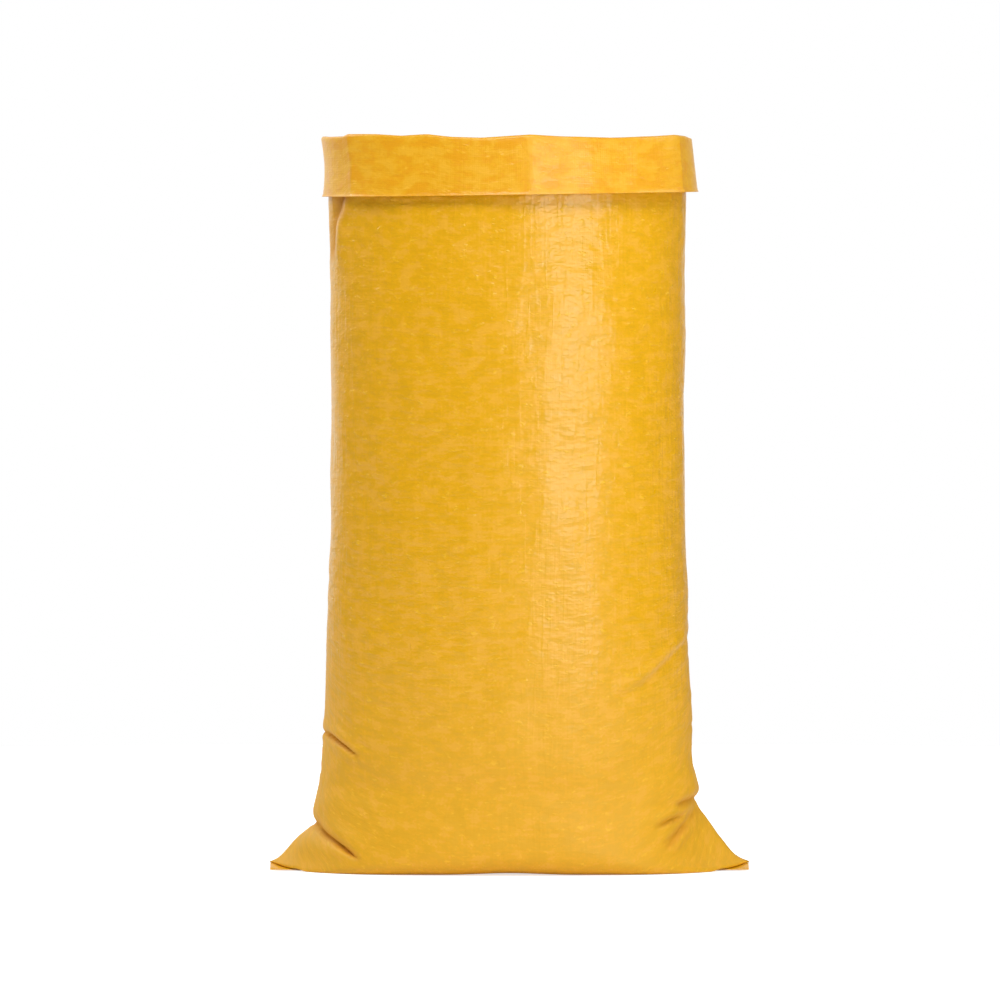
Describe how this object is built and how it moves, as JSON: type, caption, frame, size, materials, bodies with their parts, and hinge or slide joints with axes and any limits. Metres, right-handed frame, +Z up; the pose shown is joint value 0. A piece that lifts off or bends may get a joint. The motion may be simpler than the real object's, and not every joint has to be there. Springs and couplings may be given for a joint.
{
  "type": "woven polypropylene sack",
  "caption": "Yellow woven polypropylene sack, filled and standing upright, with a sewn bottom and its mouth turned out as a cuff",
  "frame": {"origin": "on the floor under the middle of the sack's bounding box", "axes": "+Z up, +X to the right along the bottom seam as seen from the front, +Y to the back"},
  "size_m": [0.5372, 0.3092, 0.8224],
  "materials": {
    "woven_fabric": "coated yellow flat-tape weave, satin",
    "sewing_thread": "twisted white yarn",
    "dry_fill": "dry coarse grains, matt"
  },
  "bodies": {
    "root": {"woven_sack": "woven_fabric", "seam_thread": "sewing_thread", "filling": "dry_fill"}
  },
  "joints": []
}
